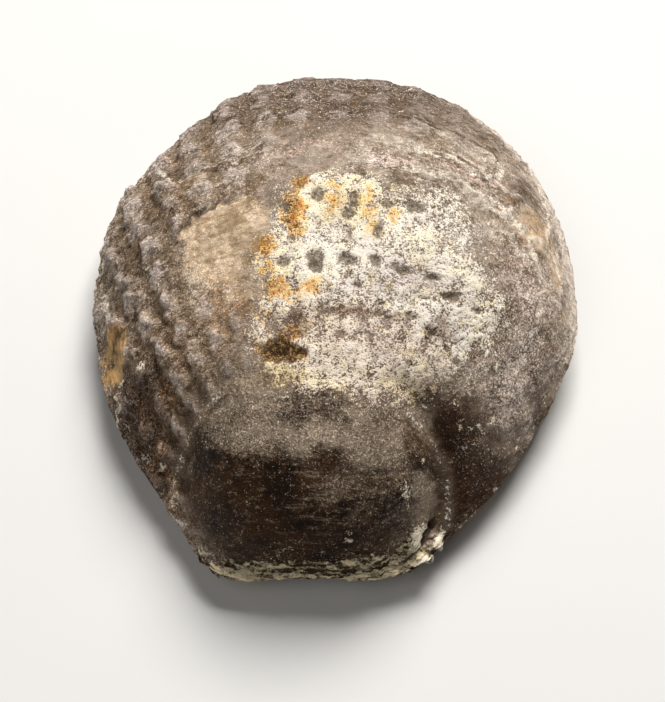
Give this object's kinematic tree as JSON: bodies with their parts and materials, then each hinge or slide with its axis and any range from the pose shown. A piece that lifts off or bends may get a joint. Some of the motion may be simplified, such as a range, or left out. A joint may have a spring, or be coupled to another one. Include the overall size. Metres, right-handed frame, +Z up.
{
  "type": "agatized fossil scallop",
  "caption": "Domed fan-shaped fossil shell turned to smoky agate, ribbed, with a drusy white crust and a swollen beak end; lies flat as a display specimen.",
  "frame": {"origin": "bottom centre of the part's box, on the flat that the stone lies on", "axes": "+Z up, +Y from the broken hinge to the outer margin, +X across the shell to the right when it is seen from the hinge end"},
  "size_m": [0.0759, 0.085, 0.029],
  "materials": {
    "agate": "smoky grey-brown chalcedony, dully glossy, with a sparkling white quartz crust over the middle and a chalky broken edge at the hinge"
  },
  "bodies": {
    "root": {"agate_scallop": "agate"}
  },
  "joints": []
}
